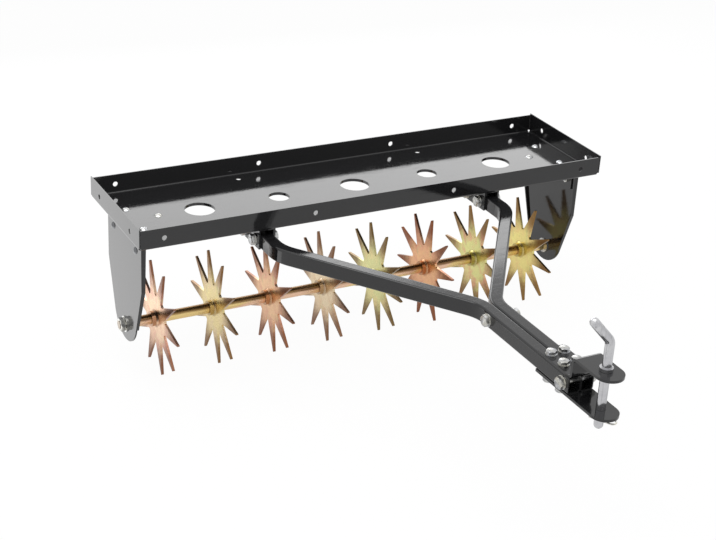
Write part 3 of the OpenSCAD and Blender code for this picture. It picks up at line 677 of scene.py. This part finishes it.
class AERATOR_OT_model_axle_nuts(bpy.types.Operator):
    """Models the two nuts on the ends of the axle"""

    bl_idname = "aerator.model_axle_nuts"
    bl_label = "Model Axle Nuts"

    def execute(self, context):
        sizes = context.scene.aerator_sizes
        solids = solids_of("axle_nuts")
        low, high = solids[0]
        nut = bored_nut("nut", sizes.axle, high.y - low.y, high.x - low.x)
        places = [looking_left(b.x, (a.y + b.y) / 2, (a.z + b.z) / 2) for a, b in solids]
        seated(place_copies(nut, "axle_nuts_detailed", places), "axle_nuts", hexagon_zinc(context))
        return {"FINISHED"}


class AERATOR_OT_finish_hitch_pin(bpy.types.Operator):
    """Plates the hitch pin and its clip"""

    bl_idname = "aerator.finish_hitch_pin"
    bl_label = "Finish Hitch Pin"

    def execute(self, context):
        colour = context.scene.aerator_finish.chrome_colour
        pin_tint = (0.52, 0.52, 0.54)
        grain_along_z = (1.0, 1.0, 0.04)
        plate = bright_metal("pin_plate", colour, pin_tint, 0.16, grain=grain_along_z, streaking=0.4)
        paint_node("hitch_pin", plate)
        wire_colour = (0.62, 0.63, 0.66)
        wire_tint = (0.7, 0.68, 0.6)
        paint_node("hitch_pin_clip", bright_metal("clip_wire", wire_colour, wire_tint, 0.24))
        return {"FINISHED"}


class AERATOR_OT_build_stage(bpy.types.Operator):
    """Sets up the floor, the lights and the camera"""

    bl_idname = "aerator.build_stage"
    bl_label = "Build Stage"

    def execute(self, context):
        studio = context.scene.aerator_studio
        self.lay_floor(studio)
        self.light_room(context, studio)
        self.set_camera(context, studio)
        context.scene.view_settings.view_transform = "Standard"
        return {"FINISHED"}

    def lay_floor(self, studio):
        """A floor that looks nearly white, with the machine's faint shadow on it."""
        glow_seen = 0.92
        glow_through = 0.9
        deselect()
        bpy.ops.mesh.primitive_plane_add(size=14.0, location=(0, 0, 0))
        floor = started("floor")
        material, wire = new_material("pale_floor")[:2]
        lit = wire.node("ShaderNodeBsdfDiffuse", {}, {"Color": (0.86, 0.86, 0.86, 1.0)})
        glow = wire.node("ShaderNodeEmission", {}, {"Color": WHITE, "Strength": 1.02})
        seen = ray(wire, "Is Camera Ray") * glow_seen
        mirrored = ray(wire, "Is Glossy Ray") * studio.floor_in_coat
        share = seen + mirrored + ray(wire, "Is Transmission Ray") * glow_through
        shown = wire.node("ShaderNodeMixShader", {}, {0: share, 1: lit, 2: glow})
        wire.node("ShaderNodeOutputMaterial", {}, {"Surface": shown})
        floor.data.materials.append(material)

    def light_room(self, context, studio):
        """A room that looks white and shines more softly, and three lamps."""
        world = bpy.data.worlds.new("studio")
        context.scene.world = world
        world.use_nodes = True
        world.node_tree.nodes.clear()
        wire = Wire(world.node_tree)
        rays = ray(wire, "Is Camera Ray") + ray(wire, "Is Glossy Ray") + ray(wire, "Is Transmission Ray")
        seen = wire.sum("MINIMUM", rays, 1.0)
        strength = seen * (1.0 - studio.room_light) + studio.room_light
        shade = wire.node("ShaderNodeBackground", {}, {"Color": WHITE, "Strength": strength})
        wire.node("ShaderNodeOutputWorld", {}, {"Surface": shade})
        self.add_panel(
            "key", place=(-0.6, -0.4, 2.6), target=(0.0, 0.0, 0.2), size=(2.6, 2.0), watts=studio.key_watts)
        self.add_panel(
            "back", place=(0.45, 2.2, 0.98), target=(0.25, 0.3, 0.8), size=(3.0, 1.1),
            watts=studio.back_watts)
        # The side panel shines up from the floor, and its tiny lean sets which way its long side lies.
        self.add_panel(
            "side", place=(-0.78, 0.86, 0.005), target=(-0.78, 0.8601, 1.0), size=(0.5, 1.1),
            watts=studio.side_watts)

    def add_panel(self, name, place, target, size, watts):
        """A lamp of a width and a height that shines from its place to its target."""
        bpy.ops.object.light_add(type="AREA", location=place)
        lamp = bpy.context.object
        lamp.name = name
        lamp.data.shape = "RECTANGLE"
        lamp.data.size, lamp.data.size_y = size
        lamp.data.energy = watts
        direction = Vector(target) - Vector(place)
        lamp.rotation_euler = direction.to_track_quat("-Z", "Y").to_euler()

    def set_camera(self, context, studio):
        """Stands the camera off the tray's top, and turns, tips and tilts it."""
        low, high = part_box("tray_pan")
        middle = Vector(((low.x + high.x) / 2, (low.y + high.y) / 2, high.z))
        yaw, pitch, roll = studio.camera_yaw, studio.camera_pitch, studio.camera_roll
        ahead = Vector((math.sin(yaw) * math.cos(pitch), math.cos(yaw) * math.cos(pitch), -math.sin(pitch)))
        right = Vector((math.cos(yaw), -math.sin(yaw), 0.0))
        over = right.cross(ahead)
        tilted_right = right * math.cos(roll) + over * math.sin(roll)
        tilted_up = over * math.cos(roll) - right * math.sin(roll)
        bpy.ops.object.camera_add()
        camera = bpy.context.object
        camera.name = "camera"
        camera.data.sensor_width = 36.0
        camera.data.sensor_fit = "HORIZONTAL"
        camera.data.lens = studio.lens_mm
        turn = Matrix((tilted_right, tilted_up, -ahead)).transposed().to_4x4()
        camera.matrix_world = Matrix.Translation(middle + Vector(studio.camera_offset)) @ turn
        context.scene.camera = camera


OPERATORS = (
    AERATOR_OT_paint_steel, AERATOR_OT_finish_wheels, AERATOR_OT_finish_axle, AERATOR_OT_finish_fasteners,
    AERATOR_OT_model_hitch_bolts, AERATOR_OT_model_cross_bolts, AERATOR_OT_model_axle_nuts,
    AERATOR_OT_finish_hitch_pin, AERATOR_OT_build_stage,
)


class AERATOR_PT_panel(bpy.types.Panel):
    """Lists the steps that finish the aerator"""

    bl_idname = "AERATOR_PT_panel"
    bl_label = "Aerator"
    bl_space_type = "VIEW_3D"
    bl_region_type = "UI"
    bl_category = "Aerator"

    def draw(self, context):
        for operator in OPERATORS:
            self.layout.operator(operator.bl_idname)
        scene = context.scene
        for group in (scene.aerator_finish, scene.aerator_sizes, scene.aerator_studio):
            for name in group.bl_rna.properties.keys():
                if name not in ("rna_type", "name"):
                    self.layout.prop(group, name)


CLASSES = (AeratorFinish, AeratorSizes, AeratorStudio, *OPERATORS, AERATOR_PT_panel)


def register():
    for item in CLASSES:
        bpy.utils.register_class(item)
    bpy.types.Scene.aerator_finish = PointerProperty(type=AeratorFinish)
    bpy.types.Scene.aerator_sizes = PointerProperty(type=AeratorSizes)
    bpy.types.Scene.aerator_studio = PointerProperty(type=AeratorStudio)


def unregister():
    del bpy.types.Scene.aerator_finish
    del bpy.types.Scene.aerator_sizes
    del bpy.types.Scene.aerator_studio
    for item in reversed(CLASSES):
        bpy.utils.unregister_class(item)


def main():
    register()
    bpy.ops.aerator.paint_steel()
    bpy.ops.aerator.finish_wheels()
    bpy.ops.aerator.finish_axle()
    bpy.ops.aerator.finish_fasteners()
    bpy.ops.aerator.model_hitch_bolts()
    bpy.ops.aerator.model_cross_bolts()
    bpy.ops.aerator.model_axle_nuts()
    bpy.ops.aerator.finish_hitch_pin()
    bpy.ops.aerator.build_stage()
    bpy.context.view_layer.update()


if __name__ == "__main__":
    main()
